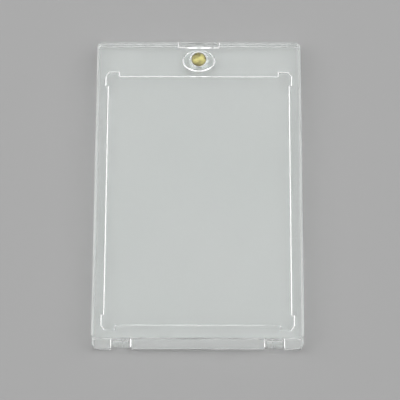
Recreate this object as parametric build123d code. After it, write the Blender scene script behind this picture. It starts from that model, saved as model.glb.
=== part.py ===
from build123d import *
import math
import os

# Magnetic display case for one trading card.
#
# Two clear moulded slabs shut on each other like a book. The base holds the card in a
# shallow well and carries a rail along its lower edge. The lid covers the base down to
# that rail, and two hooks on the lid snap over pivot bars that cross notches in the rail.
# At the other end a tongue on the base stands in a notch of the lid and keeps the two in
# line, and a disc magnet sits in each slab, shut in by an oval cap.
#
# X runs across the case, Y along it with the magnets at the +Y end, and Z through its
# thickness. The case lies on its back, and the origin is under the middle of it.
# All sizes are millimetres.

# ---- the card and the well that holds it
card_width = 63.5
card_height = 88.9
card_thickness = 0.89
card_clearance = 0.35
card_slack = 0.06
side_lead_in = 0.25
end_lead_in = 0.2
lid_well_depth = 0.35
lid_well_draft = 0.34

# ---- corner reliefs, so that nothing touches the corners of the card
relief_length_x = 4.05
relief_length_y = 3.65
relief_side = 0.85
relief_end = 1.7
relief_chamfer_x = 1.25
relief_chamfer_y = 1.7

# ---- the two slabs
side_border = 3.95
top_border = 12.2
bottom_border = 7.7
case_thickness = 8.0
parting_gap = 0.1
corner_radius = 2.0
lid_lower_corner_radius = 1.3
outer_edge_round = 0.5
parting_edge_round = 0.15

# ---- locating tongue on the base, and the notch for it in the lid's top edge
tongue_notch_width = 14.2
tongue_notch_depth = 1.1
tongue_side_gap = 0.35
tongue_back_gap = 0.35
tongue_edge_round = 0.2
notch_bevel = 0.4
notch_bevel_lean = 45
notch_back_bevel_height = 0.65

# ---- magnets, their bores and the oval caps over them
magnet_diameter = 5.2
magnet_thickness = 1.95
magnet_clearance = 0.05
magnet_edge_bevel = 0.3
magnet_from_top = 6.3
bore_mouth_diameter = 7.0
bore_mouth_depth = 0.6
cap_width = 10.6
cap_height = 7.3
cap_thickness = 1.0
cap_clearance = 0.05
seat_end_bevel = 0.52
seat_side_bevel = 0.32
seat_bevel_depth = 0.52

# ---- rail and snap hinge
rail_width = 3.0
rail_round = 0.8
hinge_inset = 1.9
hinge_spacing = 52.6
hinge_notch_width = 6.6
hinge_notch_bevel_width = 0.25
hinge_notch_bevel_height = 0.4
rail_end_flare = 0.65
block_end_flare = 0.3
pivot_diameter = 1.5
pivot_clearance = 0.05
hook_wall = 0.55
hook_side_gap = 0.6
hook_end_gap = 0.2
hook_arm_extra = 0.35
hook_mouth_width = 1.3
hook_slit_width = 0.3
hook_slit_offset = 0.8
swing_clearance = 0.1

# ---- shallow witness marks that the ejector pins leave on the rail
pin_mark_diameter = 1.6
pin_mark_depth = 0.12
pin_mark_from_side = 3.3

# ---- what follows from those sizes
well_width = card_width + 2 * card_clearance
well_height = card_height + 2 * card_clearance
well_depth = card_thickness + card_slack - lid_well_depth
case_width = well_width + 2 * side_border
case_height = top_border + well_height + bottom_border
case_top = case_height / 2
case_bottom = -case_height / 2
well_y = case_top - top_border - well_height / 2
base_top = (case_thickness - parting_gap) / 2
lid_floor = base_top + parting_gap
lid_bottom = case_bottom + rail_width
hinge_x = hinge_spacing / 2
hinge_y = case_bottom + hinge_inset
hinge_z = base_top / 2
hook_bore_radius = pivot_diameter / 2 + pivot_clearance
hook_radius = hook_bore_radius + hook_wall
hook_width = hinge_notch_width - 2 * hook_side_gap
hook_arm_y = hook_radius + hook_arm_extra
rail_corner_y = hinge_inset - rail_round
rail_corner_z = base_top - hinge_z - rail_round
swing_radius = math.hypot(rail_corner_y, rail_corner_z) + rail_round + swing_clearance
lid_floor_reach = math.sqrt(max(swing_radius**2 - (lid_floor - hinge_z) ** 2, 0))
lid_edge_bevel = max(lid_floor_reach - (lid_bottom - hinge_y), 0) + swing_clearance
magnet_y = case_top - magnet_from_top
through = 2 * case_thickness


def slab(bottom, lower_radius, low, high, outer_is_low):
    """A plate of the case's outline, its outer face well rounded and its inner one eased."""
    outline = Pos(0, (case_top + bottom) / 2) * Rectangle(case_width, case_top - bottom)
    corners = outline.vertices().sort_by(Axis.Y)
    outline = fillet(corners[2:], corner_radius)
    outline = fillet(outline.vertices().sort_by(Axis.Y)[:2], lower_radius)
    plate = extrude(Pos(0, 0, low) * outline, high - low)
    outer, inner = (0, -1) if outer_is_low else (-1, 0)
    plate = fillet(plate.faces().sort_by(Axis.Z)[outer].edges(), outer_edge_round)
    return fillet(plate.faces().sort_by(Axis.Z)[inner].edges(), parting_edge_round)


def well_outline(growth=0):
    """The card's own rectangle, with a chamfered pocket standing out at each corner."""
    inner_x = well_width / 2 - relief_length_x
    inner_y = well_height / 2 - relief_length_y
    outer_x = well_width / 2 + relief_side + growth
    outer_y = well_height / 2 + relief_end + growth
    pocket = make_face(
        Polyline(
            (inner_x, inner_y),
            (outer_x, inner_y),
            (outer_x, outer_y - relief_chamfer_y),
            (outer_x - relief_chamfer_x, outer_y),
            (inner_x, outer_y),
            close=True,
        )
    )
    pockets = [pocket, mirror(pocket, Plane.YZ)]
    pockets += [mirror(each, Plane.XZ) for each in pockets]
    return Rectangle(well_width + 2 * growth, well_height + 2 * growth) + pockets


def lead_in(length, half_gap, width):
    """A wedge that slopes one straight wall of the well outwards, from its floor to its rim."""
    section = Plane.XZ * make_face(
        Polyline((half_gap, -well_depth), (half_gap + width, 0), (half_gap, 0), close=True)
    )
    return extrude(section, length / 2, both=True)


def card_well():
    """The space taken out of the base for the card."""
    well = extrude(well_outline(), -well_depth)
    side = lead_in(well_height - 2 * relief_length_y, well_width / 2, side_lead_in)
    end = Rot(0, 0, 90) * lead_in(well_width - 2 * relief_length_x, well_height / 2, end_lead_in)
    well += [side, mirror(side, Plane.YZ)]
    well += [end, mirror(end, Plane.XZ)]
    return Pos(0, well_y, base_top) * well


def lid_well():
    """The shallow sinking in the lid over the card, its walls leaning in as they go up."""
    lean = math.degrees(math.atan2(lid_well_draft, lid_well_depth))
    sinking = extrude(well_outline(lid_well_draft / 2), lid_well_depth, taper=lean)
    return Pos(0, well_y, lid_floor) * sinking


def magnet_pocket():
    """Oval seat for the cap, with the magnet's bore and its coned mouth under it.

    It opens at z = 0 and runs towards -Z.
    """
    seat_depth = cap_thickness + cap_clearance
    seat_x = cap_width / 2 + cap_clearance
    seat_y = cap_height / 2 + cap_clearance
    seat = Ellipse(seat_x, seat_y)
    rim = Ellipse(seat_x + seat_end_bevel, seat_y + seat_side_bevel)
    bevel = loft([rim, Pos(0, 0, -seat_bevel_depth) * seat])
    bore_radius = magnet_diameter / 2 + magnet_clearance
    bore_depth = magnet_thickness + 2 * magnet_clearance
    hanging = (Align.CENTER, Align.CENTER, Align.MAX)
    bore = Cylinder(bore_radius, bore_depth, align=hanging)
    mouth = Cone(bore_radius, bore_mouth_diameter / 2, bore_mouth_depth, align=hanging)
    return extrude(seat, -seat_depth) + bevel + Pos(0, 0, -seat_depth) * (bore + mouth)


def into_base(piece):
    """Puts a piece made about the magnet axis, running towards -Z, in the base."""
    return Pos(0, magnet_y, base_top) * piece


def into_lid(piece):
    """Puts the same piece in the lid, turned over so that it runs towards +Z."""
    return Pos(0, magnet_y, lid_floor) * Rot(180, 0, 0) * piece


def locating_tongue():
    """The upright key that stands in the lid's notch, level with both outer faces."""
    width = tongue_notch_width - 2 * tongue_side_gap
    depth = tongue_notch_depth - tongue_back_gap
    section = Pos(0, case_top - depth / 2) * Rectangle(width, depth)
    tongue = extrude(Pos(0, 0, base_top / 2) * section, case_thickness - base_top / 2)
    tongue = fillet(tongue.edges().filter_by(Axis.Z).group_by(Axis.Y)[0], tongue_edge_round)
    return fillet(tongue.faces().sort_by(Axis.Z)[-1].edges(), tongue_edge_round)


def tongue_notch():
    """The gap in the lid for the tongue, bevelled round the lid's inner face.

    The bevel is longer up the back wall than up the two sides.
    """
    notch = extrude(
        Pos(0, case_top) * Rectangle(tongue_notch_width, 2 * tongue_notch_depth), through
    )
    mouth_width = tongue_notch_width + 2 * notch_bevel
    mouth_depth = tongue_notch_depth + notch_bevel
    mouth = Pos(0, case_top, lid_floor) * Rectangle(mouth_width, 2 * mouth_depth)
    notch += extrude(mouth, notch_bevel, taper=notch_bevel_lean)
    back = case_top - tongue_notch_depth
    section = make_face(
        Polyline(
            (back - notch_bevel, lid_floor),
            (back, lid_floor),
            (back, lid_floor + notch_back_bevel_height),
            close=True,
        )
    )
    return notch + extrude(Plane.YZ * section, tongue_notch_width / 2, both=True)


def lid_edge():
    """What is cut off along the lid's lower inner edge, so that it clears the rail."""
    beyond = 2 * lid_edge_bevel
    corner = make_face(
        Polyline(
            (lid_bottom + lid_edge_bevel + beyond, lid_floor - beyond),
            (lid_bottom - beyond, lid_floor + lid_edge_bevel + beyond),
            (lid_bottom - beyond, lid_floor - beyond),
            close=True,
        )
    )
    return extrude(Plane.YZ * corner, case_width, both=True)


def hinge_notch():
    """The gap through the rail for the +X hook, with its mouth chamfered."""
    inner = hinge_x - hinge_notch_width / 2
    outer = hinge_x + hinge_notch_width / 2
    end = hinge_y + hook_arm_y + hook_end_gap
    beyond = case_bottom - rail_width
    outline = make_face(
        Polyline(
            (inner, end),
            (outer, end),
            (outer, case_bottom + block_end_flare),
            (outer + block_end_flare, case_bottom),
            (outer + block_end_flare, beyond),
            (inner - rail_end_flare, beyond),
            (inner - rail_end_flare, case_bottom),
            (inner, case_bottom + rail_end_flare),
            close=True,
        )
    )
    lean = math.degrees(math.atan2(hinge_notch_bevel_width, hinge_notch_bevel_height))
    mouth = offset(outline, hinge_notch_bevel_width, kind=Kind.INTERSECTION)
    return extrude(outline, through, both=True) + extrude(mouth, hinge_notch_bevel_height, taper=lean)


def rail_edge():
    """What is cut away along the rail to round its front upper edge."""
    corner = Rectangle(2 * rail_round, 2 * rail_round)
    corner -= Pos(rail_round, -rail_round) * Circle(rail_round)
    section = Plane.YZ * Pos(case_bottom, base_top) * corner
    return extrude(section, case_width, both=True)


def pivot_bar():
    """The round bar across the +X notch, let into both of its walls."""
    bar = Cylinder(pivot_diameter / 2, hinge_notch_width + pivot_diameter, rotation=(0, 90, 0))
    return Pos(hinge_x, hinge_y, hinge_z) * bar


def snap_hook():
    """The +X hook: an open eye over the bar, and the arm from it up into the lid."""
    lid_edge = lid_bottom - hinge_y
    arm_top = lid_floor + 2 * lid_edge_bevel - hinge_z
    arm = make_face(
        Polyline(
            (0, 0),
            (0, hook_radius),
            (lid_edge, hook_radius),
            (lid_edge, arm_top),
            (hook_arm_y, arm_top),
            (hook_arm_y, 0),
            close=True,
        )
    )
    mouth = Pos(0, -hook_radius) * Rectangle(hook_mouth_width, 2 * hook_radius)
    profile = Circle(hook_radius) + arm - Circle(hook_bore_radius) - mouth
    hook = extrude(Plane.YZ * profile, hook_width / 2, both=True)
    standing = (Align.CENTER, Align.CENTER, Align.MIN)
    slit = Box(hook_slit_width, through, hook_radius + lid_floor - hinge_z, align=standing)
    hook -= Pos(-hook_slit_offset, 0, -hook_radius) * slit
    return Pos(hinge_x, hinge_y, hinge_z) * hook


def base_shell():
    shell = slab(case_bottom, corner_radius, 0, base_top, True)
    shell += locating_tongue()
    shell -= card_well()
    shell -= into_base(magnet_pocket())
    shell -= rail_edge()
    notch = hinge_notch()
    shell -= [notch, mirror(notch, Plane.YZ)]
    bar = pivot_bar()
    shell += [bar, mirror(bar, Plane.YZ)]
    mark = Cylinder(pin_mark_diameter / 2, 2 * pin_mark_depth)
    mark_x = case_width / 2 - pin_mark_from_side
    mark_y = case_bottom + (rail_width + rail_round) / 2
    for x in (-mark_x, 0, mark_x):
        shell -= Pos(x, mark_y, base_top) * mark
    return shell


def lid_shell():
    shell = slab(lid_bottom, lid_lower_corner_radius, lid_floor, case_thickness, False)
    shell -= tongue_notch()
    shell -= lid_well()
    shell -= into_lid(magnet_pocket())
    shell -= lid_edge()
    hook = snap_hook()
    return shell + [hook, mirror(hook, Plane.YZ)]


def magnet():
    """A plated disc with eased rims, lying under the cap in its bore."""
    hanging = (Align.CENTER, Align.CENTER, Align.MAX)
    disc = Cylinder(magnet_diameter / 2, magnet_thickness, align=hanging)
    disc = chamfer(disc.edges().filter_by(GeomType.CIRCLE), magnet_edge_bevel)
    return Pos(0, 0, -(cap_thickness + cap_clearance + magnet_clearance)) * disc


def magnet_cap():
    """The oval plate that shuts the magnet in, level with the slab's inner face."""
    return extrude(Ellipse(cap_width / 2, cap_height / 2), -cap_thickness)


pieces = {
    "base_shell": base_shell(),
    "lid_shell": lid_shell(),
    "base_magnet": into_base(magnet()),
    "lid_magnet": into_lid(magnet()),
    "base_magnet_cap": into_base(magnet_cap()),
    "lid_magnet_cap": into_lid(magnet_cap()),
}

os.makedirs("parts", exist_ok=True)
for name, piece in pieces.items():
    export_step(piece, f"parts/{name}.step")
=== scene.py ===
import math
import bpy
from mathutils import Matrix, Vector


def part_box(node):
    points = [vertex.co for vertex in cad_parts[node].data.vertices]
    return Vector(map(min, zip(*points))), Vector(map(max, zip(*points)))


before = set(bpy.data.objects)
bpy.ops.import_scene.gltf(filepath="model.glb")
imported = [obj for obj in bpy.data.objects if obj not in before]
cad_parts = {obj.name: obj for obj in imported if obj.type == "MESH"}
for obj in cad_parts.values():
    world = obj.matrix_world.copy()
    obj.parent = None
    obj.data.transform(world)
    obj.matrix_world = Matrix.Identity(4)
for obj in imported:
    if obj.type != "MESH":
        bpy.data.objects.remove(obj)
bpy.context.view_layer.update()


# ---- View -----------------------------------------------------------------------------
# The case lies on its back and is looked down on from a little below its rail end, from
# about half a metre, with a long lens. The camera is level to within a quarter of a degree.
aim = Vector((0.00059, -0.00136, 0.0))
stand_off = 0.5555
tilt = math.radians(15.22)
side_step = math.radians(0.344)
lean = math.radians(0.234)

level_part = math.cos(tilt)
back = Vector((
    math.sin(side_step) * level_part,
    -math.sin(tilt),
    math.cos(side_step) * level_part,
))
back.normalize()
level = Vector((0, 1, 0)).cross(back).normalized()
rise = back.cross(level)
across = math.cos(lean) * level + math.sin(lean) * rise
upward = math.cos(lean) * rise - math.sin(lean) * level
seat = aim + stand_off * back

camera = bpy.data.objects.new("camera", bpy.data.cameras.new("camera"))
camera.data.sensor_width = 36.0
camera.data.lens = 142.26
camera.data.clip_start = 0.01
camera.data.clip_end = 50.0
camera.matrix_world = Matrix((
    (across.x, upward.x, back.x, seat.x),
    (across.y, upward.y, back.y, seat.y),
    (across.z, upward.z, back.z, seat.z),
    (0, 0, 0, 1),
))
bpy.context.scene.collection.objects.link(camera)
bpy.context.scene.camera = camera


# ---- Clear shells ---------------------------------------------------------------------
# The two slabs are injection moulded from clear acrylic in a polished mould, and the faces
# carry only the hairlines and faint smears of being handled. Their long edges and corners
# are satin, and the moulded hooks are lightly frosted and ribbed.
def add_group(name, inputs, outputs):
    """An empty shader node group with named number inputs and outputs, and its two end nodes."""
    group = bpy.data.node_groups.new(name, "ShaderNodeTree")
    for label, kind, start in inputs:
        socket = group.interface.new_socket(label, in_out="INPUT", socket_type=kind)
        if start is not None:
            socket.default_value = start
    for label, kind in outputs:
        group.interface.new_socket(label, in_out="OUTPUT", socket_type=kind)
    return group, group.nodes.new("NodeGroupInput"), group.nodes.new("NodeGroupOutput")


def join(tree, source, target):
    tree.links.new(source, target)


def math_node(tree, operation, first, second=None, third=None):
    """One Math node; each argument is a number or a socket."""
    node = tree.nodes.new("ShaderNodeMath")
    node.operation = operation
    for place, value in enumerate((first, second, third)):
        if value is None:
            continue
        if isinstance(value, (int, float)):
            node.inputs[place].default_value = value
        else:
            join(tree, value, node.inputs[place])
    return node.outputs[0]


def clamped(tree, value):
    """The value held between 0 and 1."""
    return math_node(tree, "MINIMUM", math_node(tree, "MAXIMUM", value, 0.0), 1.0)


def handling_marks():
    """Hairlines and smears. A hairline is where a stretched noise, turned by an angle, comes near
    its middle value; two such sets cross. A smear is where a slow noise is high."""
    group, start, end = add_group(
        "handling_marks",
        [("Position", "NodeSocketVector", None), ("Hairlines", "NodeSocketFloat", 1.0),
         ("Smears", "NodeSocketFloat", 1.0)],
        [("Marks", "NodeSocketFloat"), ("Height", "NodeSocketFloat")],
    )
    hairline_scale = (25, 700, 60)
    hairline_sharpness = 90.0
    patch_contrast = 4.0
    smear_threshold = 0.45
    lines = None
    for turn, seed in ((0.5, 0.0), (-0.9, 7.0)):
        mapping = group.nodes.new("ShaderNodeMapping")
        mapping.inputs["Rotation"].default_value = (0, 0, turn)
        mapping.inputs["Scale"].default_value = hairline_scale
        mapping.inputs["Location"].default_value = (seed, seed, 0)
        join(group, start.outputs["Position"], mapping.inputs["Vector"])
        streak = group.nodes.new("ShaderNodeTexNoise")
        streak.inputs["Scale"].default_value = 1.0
        streak.inputs["Detail"].default_value = 2.0
        join(group, mapping.outputs[0], streak.inputs["Vector"])
        near = math_node(group, "ABSOLUTE", math_node(group, "SUBTRACT", streak.outputs["Fac"], 0.5))
        line = math_node(group, "SUBTRACT", 1.0, math_node(group, "MULTIPLY", near, hairline_sharpness))
        line = math_node(group, "MAXIMUM", line, 0.0)
        lines = line if lines is None else math_node(group, "MAXIMUM", lines, line)
    patch = group.nodes.new("ShaderNodeTexNoise")
    patch.inputs["Scale"].default_value = 70.0
    join(group, start.outputs["Position"], patch.inputs["Vector"])
    some = math_node(group, "SUBTRACT", patch.outputs["Fac"], 0.5)
    some = clamped(group, math_node(group, "MULTIPLY", some, patch_contrast))
    lines = math_node(group, "MULTIPLY", lines, some)
    lines = math_node(group, "MULTIPLY", lines, start.outputs["Hairlines"])
    smear = group.nodes.new("ShaderNodeTexNoise")
    smear.inputs["Scale"].default_value = 38.0
    smear.inputs["Detail"].default_value = 4.0
    smear.inputs["Distortion"].default_value = 1.2
    join(group, start.outputs["Position"], smear.inputs["Vector"])
    film = math_node(group, "SUBTRACT", smear.outputs["Fac"], smear_threshold)
    film = math_node(group, "MAXIMUM", film, 0.0)
    film = math_node(group, "MULTIPLY", film, start.outputs["Smears"])
    join(group, math_node(group, "ADD", lines, film), end.inputs["Marks"])
    join(group, math_node(group, "MULTIPLY", lines, -1.0), end.inputs["Height"])
    return group


marks = handling_marks()


def outline_band():
    """1 outside a rectangle with round corners, 0 inside it, with a short slope between. The
    distance to its line is how far a point lies beyond the rectangle drawn in by the corner
    radius, less that radius."""
    group, start, end = add_group(
        "outline_band",
        [("Position", "NodeSocketVector", None), ("Half Width", "NodeSocketFloat", 0.03),
         ("Half Length", "NodeSocketFloat", 0.05), ("Corner", "NodeSocketFloat", 0.002),
         ("Slope", "NodeSocketFloat", 0.0001)],
        [("Mask", "NodeSocketFloat")],
    )
    parts = group.nodes.new("ShaderNodeSeparateXYZ")
    join(group, start.outputs["Position"], parts.inputs[0])
    over = []
    for axis, half in (("X", "Half Width"), ("Y", "Half Length")):
        reach = math_node(group, "SUBTRACT", start.outputs[half], start.outputs["Corner"])
        off = math_node(group, "ABSOLUTE", parts.outputs[axis])
        over.append(math_node(group, "SUBTRACT", off, reach))
    beyond = [math_node(group, "MAXIMUM", each, 0.0) for each in over]
    squares = [math_node(group, "MULTIPLY", each, each) for each in beyond]
    round_part = math_node(group, "SQRT", math_node(group, "ADD", squares[0], squares[1]))
    flat_part = math_node(group, "MINIMUM", math_node(group, "MAXIMUM", over[0], over[1]), 0.0)
    distance = math_node(group, "ADD", round_part, flat_part)
    distance = math_node(group, "SUBTRACT", distance, start.outputs["Corner"])
    risen = math_node(group, "DIVIDE", distance, start.outputs["Slope"])
    join(group, clamped(group, risen), end.inputs["Mask"])
    return group


satin = outline_band()
rim_roughness = 0.4
rim_slope = 0.00012
mark_roughness = 0.12
frosting_roughness = 0.2


def clear_acrylic(name, roughness, hairlines, smears, outline=None, frosting=None):
    """Clear acrylic: glass of index 1.49 with a faint cool tint, its roughness raised by the
    handling marks, along the slab's outline, and where frosting gives a mask."""
    material = bpy.data.materials.new(name)
    material.use_nodes = True
    tree = material.node_tree
    shader = tree.nodes["Principled BSDF"]
    shader.inputs["Transmission Weight"].default_value = 1.0
    shader.inputs["IOR"].default_value = 1.49
    place = tree.nodes.new("ShaderNodeTexCoord").outputs["Object"]
    wear = tree.nodes.new("ShaderNodeGroup")
    wear.node_tree = marks
    wear.inputs["Hairlines"].default_value = hairlines
    wear.inputs["Smears"].default_value = smears
    join(tree, place, wear.inputs["Position"])
    rough = math_node(tree, "MULTIPLY_ADD", wear.outputs["Marks"], mark_roughness, roughness)
    if outline is not None:
        middle, half_width, half_length, corner = outline
        centred = tree.nodes.new("ShaderNodeMapping")
        centred.inputs["Location"].default_value = (0, -middle, 0)
        join(tree, place, centred.inputs["Vector"])
        rim = tree.nodes.new("ShaderNodeGroup")
        rim.node_tree = satin
        join(tree, centred.outputs[0], rim.inputs["Position"])
        rim.inputs["Half Width"].default_value = half_width
        rim.inputs["Half Length"].default_value = half_length
        rim.inputs["Corner"].default_value = corner
        rim.inputs["Slope"].default_value = rim_slope
        rim_rough = math_node(tree, "MULTIPLY", rim.outputs["Mask"], rim_roughness)
        rough = math_node(tree, "MAXIMUM", rough, rim_rough)
    height = wear.outputs["Height"]
    if frosting is not None:
        mask, ribs = frosting(tree, place)
        frosted = math_node(tree, "MULTIPLY", mask, frosting_roughness)
        rough = math_node(tree, "MAXIMUM", rough, frosted)
        height = math_node(tree, "ADD", height, math_node(tree, "MULTIPLY", mask, ribs))
    join(tree, rough, shader.inputs["Roughness"])
    flow = tree.nodes.new("ShaderNodeTexNoise")
    flow.inputs["Scale"].default_value = 22.0
    flow.inputs["Detail"].default_value = 1.0
    join(tree, place, flow.inputs["Vector"])
    tint = tree.nodes.new("ShaderNodeMix")
    tint.data_type = "RGBA"
    tint.inputs["A"].default_value = (0.965, 0.980, 0.974, 1)
    tint.inputs["B"].default_value = (0.980, 0.990, 0.986, 1)
    join(tree, flow.outputs["Fac"], tint.inputs["Factor"])
    join(tree, tint.outputs["Result"], shader.inputs["Base Color"])
    bump = tree.nodes.new("ShaderNodeBump")
    bump.inputs["Strength"].default_value = 0.25
    bump.inputs["Distance"].default_value = 0.00002
    join(tree, height, bump.inputs["Height"])
    join(tree, bump.outputs[0], shader.inputs["Normal"])
    return material


def dress(node, material):
    """Puts the material in every slot of a node that came with the frame."""
    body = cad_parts[node]
    body.data.materials.clear()
    body.data.materials.append(material)
    return body


half_hinge_spacing = 0.0263
hook_half_width = 0.0029
hook_upper_end = -0.0510
hook_top = 0.0045
rib_scale = (2400, 60, 60)
rib_height = 70.0


def hook_frosting(tree, place):
    """1 on the two hooks, where |x| is near half the hinge spacing, beyond the lid's end and below
    its face; and the height of the fine ribs left there, a noise drawn out up and down the hook."""
    parts = tree.nodes.new("ShaderNodeSeparateXYZ")
    join(tree, place, parts.inputs[0])
    off = math_node(tree, "ABSOLUTE", parts.outputs["X"])
    off = math_node(tree, "SUBTRACT", off, half_hinge_spacing)
    beside = math_node(tree, "LESS_THAN", math_node(tree, "ABSOLUTE", off), hook_half_width)
    below = math_node(tree, "LESS_THAN", parts.outputs["Y"], hook_upper_end)
    under = math_node(tree, "LESS_THAN", parts.outputs["Z"], hook_top)
    mask = math_node(tree, "MULTIPLY", math_node(tree, "MULTIPLY", beside, below), under)
    drawn = tree.nodes.new("ShaderNodeMapping")
    drawn.inputs["Scale"].default_value = rib_scale
    join(tree, place, drawn.inputs["Vector"])
    ribs = tree.nodes.new("ShaderNodeTexNoise")
    ribs.inputs["Scale"].default_value = 1.0
    ribs.inputs["Detail"].default_value = 1.0
    join(tree, drawn.outputs[0], ribs.inputs["Vector"])
    return mask, math_node(tree, "MULTIPLY", ribs.outputs["Fac"], rib_height)


case_low, case_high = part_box("base_shell")
rail_width = 0.003
lid_end = case_low[1] + rail_width
base_corner = 0.002
lid_corner = 0.0018
satin_side = 0.0006
satin_end = -0.0005
inner_half_width = case_high[0] - satin_side


def inner_outline(end_y, corner):
    """The line inside which a slab is polished: its middle along Y, half sizes and corner.

    It passes beyond both ends, so that the satin is along the two sides and round the corners.
    """
    middle = (case_high[1] + end_y) / 2
    return middle, inner_half_width, case_high[1] - middle - satin_end, corner


base_outline = inner_outline(case_low[1], base_corner)
lid_outline = inner_outline(lid_end, lid_corner)
polish = {"roughness": 0.012, "hairlines": 1.0, "smears": 0.25}
base_acrylic = clear_acrylic("clear_acrylic_base", **polish, outline=base_outline)
lid_acrylic = clear_acrylic(
    "clear_acrylic_lid", **polish, outline=lid_outline, frosting=hook_frosting
)
dress("base_shell", base_acrylic)
dress("lid_shell", lid_acrylic)


# ---- Magnet caps ----------------------------------------------------------------------
# The oval caps are small plates of the same acrylic, pressed in level with the inner
# faces of the slabs, so nothing rubs them and they stay nearly free of marks.
cap_acrylic = clear_acrylic("clear_acrylic_cap", roughness=0.01, hairlines=0.3, smears=0.1)
dress("base_magnet_cap", cap_acrylic)
dress("lid_magnet_cap", cap_acrylic)


# ---- Magnets --------------------------------------------------------------------------
# Each magnet is a sintered disc plated a pale gold. The plating is bright but not a mirror: fine rings
# run round it, it is darker and duller in patches, and a painted sheen in its colour makes it bright in
# the middle and darker at its edge.
def gold_plating():
    """Pale gold metal. Its colour carries a painted sheen, bright in the middle and darker towards the
    edge, broken by a blotchy noise, and fine turning rings, a wave of the distance from the axis,
    roughen and bump it."""
    material = bpy.data.materials.new("gold_plating")
    material.use_nodes = True
    tree = material.node_tree
    shader = tree.nodes["Principled BSDF"]
    shader.inputs["Metallic"].default_value = 1.0
    place = tree.nodes.new("ShaderNodeTexCoord").outputs["Object"]
    blotch_contrast = 2.4
    ring_frequency = 42000.0
    disc_low, disc_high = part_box("lid_magnet")
    centred = tree.nodes.new("ShaderNodeMapping")
    centred.inputs["Location"].default_value = (0, -(disc_low[1] + disc_high[1]) / 2, 0)
    join(tree, place, centred.inputs["Vector"])
    parts = tree.nodes.new("ShaderNodeSeparateXYZ")
    join(tree, centred.outputs[0], parts.inputs[0])
    across = math_node(tree, "MULTIPLY", parts.outputs["X"], parts.outputs["X"])
    along = math_node(tree, "MULTIPLY", parts.outputs["Y"], parts.outputs["Y"])
    radius = math_node(tree, "SQRT", math_node(tree, "ADD", across, along))
    share = math_node(tree, "DIVIDE", radius, disc_high[0])
    blotch = tree.nodes.new("ShaderNodeTexNoise")
    blotch.inputs["Scale"].default_value = 650.0
    blotch.inputs["Detail"].default_value = 3.0
    join(tree, place, blotch.inputs["Vector"])
    # Painted sheen: the colour is lit up in the middle of the disc and painted darker towards its edge.
    painted_sheen_fade = math_node(tree, "MULTIPLY_ADD", share, -0.95, 1.05)
    uneven = math_node(tree, "MULTIPLY_ADD", blotch.outputs["Fac"], blotch_contrast, -blotch_contrast / 2)
    mottle_and_painted_sheen = clamped(tree, math_node(tree, "ADD", painted_sheen_fade, uneven))
    colour = tree.nodes.new("ShaderNodeMix")
    colour.data_type = "RGBA"
    # Dark end: the painted shade at the edge and the duller patches. Bright end: the painted sheen in the
    # middle.
    colour.inputs["A"].default_value = (0.17, 0.14, 0.027, 1)
    colour.inputs["B"].default_value = (0.53, 0.48, 0.17, 1)
    join(tree, mottle_and_painted_sheen, colour.inputs["Factor"])
    join(tree, colour.outputs["Result"], shader.inputs["Base Color"])
    rings = math_node(tree, "SINE", math_node(tree, "MULTIPLY", radius, ring_frequency))
    rough = math_node(tree, "MULTIPLY_ADD", blotch.outputs["Fac"], 0.2, 0.16)
    join(tree, math_node(tree, "MULTIPLY_ADD", rings, 0.04, rough), shader.inputs["Roughness"])
    bump = tree.nodes.new("ShaderNodeBump")
    bump.inputs["Strength"].default_value = 0.25
    bump.inputs["Distance"].default_value = 0.00002
    join(tree, rings, bump.inputs["Height"])
    join(tree, bump.outputs[0], shader.inputs["Normal"])
    return material


plating = gold_plating()
dress("base_magnet", plating)
dress("lid_magnet", plating)


# ---- Floor and light ------------------------------------------------------------------
# A plain pale grey table top, under an even white sky with a broad soft lamp on each side.
# The sky is at full white where it is seen, mirrored or looked at through the acrylic, and
# at half that on the floor, which the lamps light as well. No mirror face shows the lamps.
floor_reach = 4
floor_gap = 0.00005
floor_grey = 0.42
corners = [(x * floor_reach, y * floor_reach, 0) for x, y in ((-1, -1), (1, -1), (1, 1), (-1, 1))]
floor_mesh = bpy.data.meshes.new("floor")
floor_mesh.from_pydata(corners, [], [(0, 1, 2, 3)])
floor = bpy.data.objects.new("floor", floor_mesh)
bpy.context.scene.collection.objects.link(floor)
table_top = bpy.data.materials.new("table_top")
table_top.use_nodes = True
matt = table_top.node_tree.nodes["Principled BSDF"]
matt.inputs["Base Color"].default_value = (floor_grey, floor_grey, floor_grey, 1)
matt.inputs["Roughness"].default_value = 0.9
floor.data.materials.append(table_top)
floor.location = (0, 0, -floor_gap)

sky = bpy.data.worlds.new("sky")
bpy.context.scene.world = sky
sky.use_nodes = True
floor_light = 0.5
tree = sky.node_tree
seen = tree.nodes.new("ShaderNodeLightPath")
clear_ray = math_node(tree, "MAXIMUM", seen.outputs["Is Camera Ray"], seen.outputs["Is Glossy Ray"])
clear_ray = math_node(tree, "MAXIMUM", clear_ray, seen.outputs["Is Transmission Ray"])
tree.nodes["Background"].inputs["Color"].default_value = (1, 1, 1, 1)
strength = math_node(tree, "MULTIPLY_ADD", clear_ray, 1 - floor_light, floor_light)
join(tree, strength, tree.nodes["Background"].inputs["Strength"])


lamp_size = 0.9
lamp_watts = 3.5


def soft_lamp(name, side):
    """A square area lamp to one side of the case, turned to face it."""
    place = (side * 0.6, 0.1, 0.8)
    lamp = bpy.data.objects.new(name, bpy.data.lights.new(name, "AREA"))
    lamp.data.size = lamp_size
    lamp.data.energy = lamp_watts
    lamp.location = place
    lamp.rotation_euler = (-Vector(place)).to_track_quat("-Z", "Y").to_euler()
    lamp.visible_glossy = False
    bpy.context.scene.collection.objects.link(lamp)


soft_lamp("left", -1)
soft_lamp("right", 1)

# Light goes through up to eight faces of acrylic on its way to the table and back, so its
# path may be long, and it keeps the faces clear instead of blurring them after the table.
bpy.context.scene.cycles.max_bounces = 32
bpy.context.scene.cycles.glossy_bounces = 32
bpy.context.scene.cycles.transmission_bounces = 32
bpy.context.scene.cycles.blur_glossy = 0.0

bpy.context.scene.view_settings.view_transform = "Standard"
